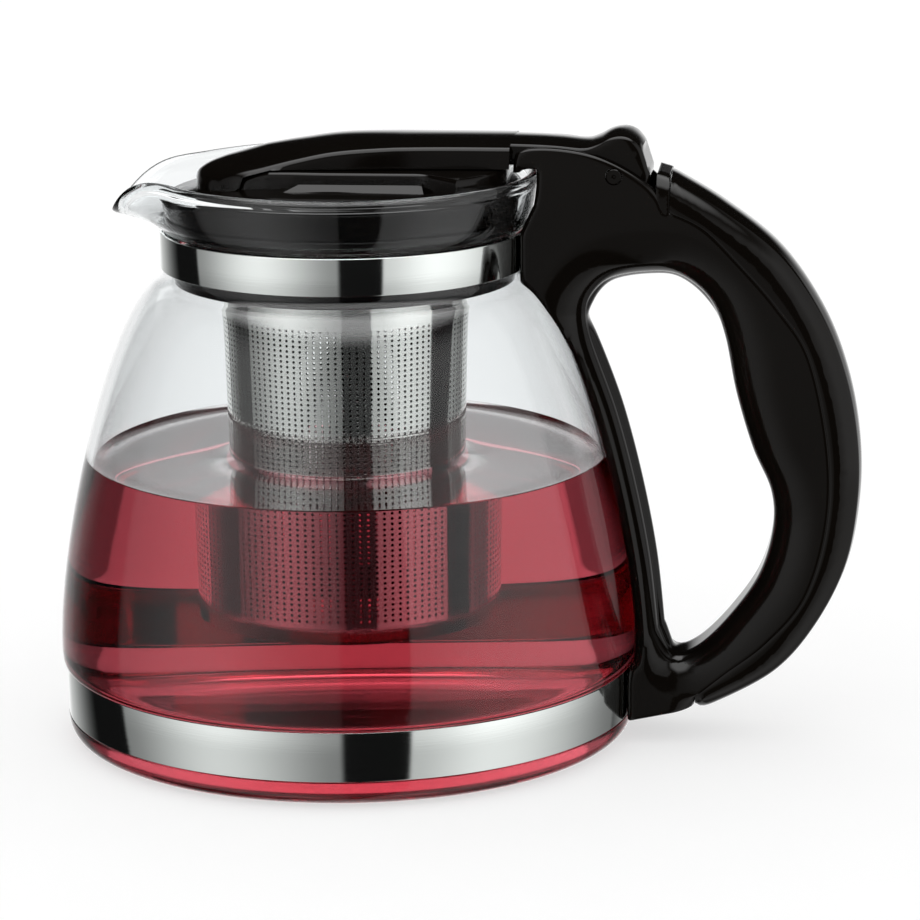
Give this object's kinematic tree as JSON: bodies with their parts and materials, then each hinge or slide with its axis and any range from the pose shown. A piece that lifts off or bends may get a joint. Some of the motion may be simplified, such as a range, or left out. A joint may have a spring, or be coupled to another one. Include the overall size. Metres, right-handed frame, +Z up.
{
  "type": "infusion pitcher",
  "caption": "Bell-shaped glass pitcher with a drawn-out pouring lip, steel bands, a black loop handle, a hinged lid with a thumb tab, and a drop-in perforated infuser.",
  "frame": {"origin": "centre of the round foot, on the plane the pitcher stands on", "axes": "+X towards the handle, -X towards the pouring lip, +Z up along the axis of the glass"},
  "size_m": [0.2078, 0.1508, 0.1579],
  "materials": {
    "glass": "clear, fire polished",
    "band_steel": "mirror polished stainless sheet",
    "basket_steel": "bright stainless sheet",
    "fastener_steel": "plain zinc",
    "black_plastic": "glossy black",
    "liner_film": "bright metallised film"
  },
  "bodies": {
    "jug": {"glass_vessel": "glass", "lower_band": "band_steel", "upper_band": "band_steel", "lower_band_liner": "liner_film", "upper_band_liner": "liner_film", "lower_barrel_nut": "fastener_steel", "upper_barrel_nut": "fastener_steel", "lower_clamp_screw": "fastener_steel", "upper_clamp_screw": "fastener_steel", "handle_frame": "black_plastic", "handle_backstrap": "black_plastic", "hinge_pin": "black_plastic"},
    "lid": {"lid_arm": "black_plastic", "lid_disc": "black_plastic", "lid_screw_front": "fastener_steel", "lid_screw_rear": "fastener_steel"},
    "infuser": {"infuser_collar": "black_plastic", "infuser_retaining_ring": "black_plastic", "infuser_wall": "basket_steel", "infuser_base": "basket_steel"}
  },
  "joints": [
    {"name": "lid_hinge", "type": "hinge", "parent": "jug", "child": "lid", "pos_m": [0.06996, 0, 0.1481], "axis": [0, 1, 0], "range_deg": [0, 80]},
    {"name": "infuser_turn", "type": "hinge", "parent": "jug", "child": "infuser", "pos_m": [0, 0, 0.125], "axis": [0, 0, 1], "continuous": true}
  ]
}
